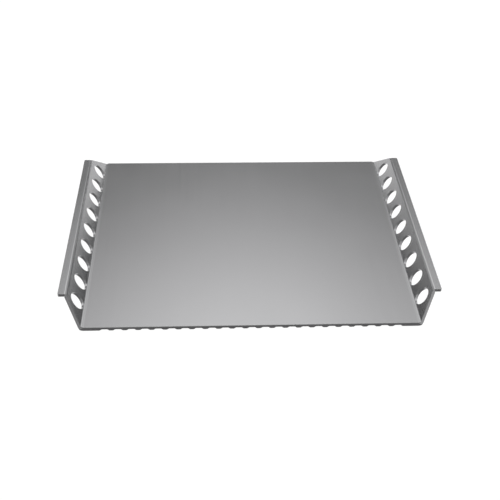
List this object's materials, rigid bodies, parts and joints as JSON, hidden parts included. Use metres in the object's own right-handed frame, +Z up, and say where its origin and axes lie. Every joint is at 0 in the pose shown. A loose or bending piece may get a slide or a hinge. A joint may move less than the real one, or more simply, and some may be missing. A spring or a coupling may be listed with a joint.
{
  "type": "baguette tray",
  "caption": "Low rectangular aluminium baking tray with a flat bed, ribbed underneath, and two leaning side walls pierced by round air holes and edged with a level lip.",
  "frame": {"origin": "under the middle of the tray, on the surface that its rib tips and foot margins stand on", "axes": "+X across the tray towards its right-hand wall, +Y front to back, +Z up"},
  "size_m": [0.3698, 0.303, 0.0238],
  "materials": {
    "bed_aluminium": "hard-anodised satin grey, with a faint rolled grain from front to back",
    "rail_aluminium": "hard-anodised satin grey, with faint lines along the extrusion and milled hole walls",
    "pin_aluminium": "plain drawn pin, cut flat"
  },
  "bodies": {
    "root": {"bed_plate": "bed_aluminium", "left_side_rail": "rail_aluminium", "right_side_rail": "rail_aluminium", "left_lock_pins": "pin_aluminium", "right_lock_pins": "pin_aluminium"}
  },
  "joints": []
}
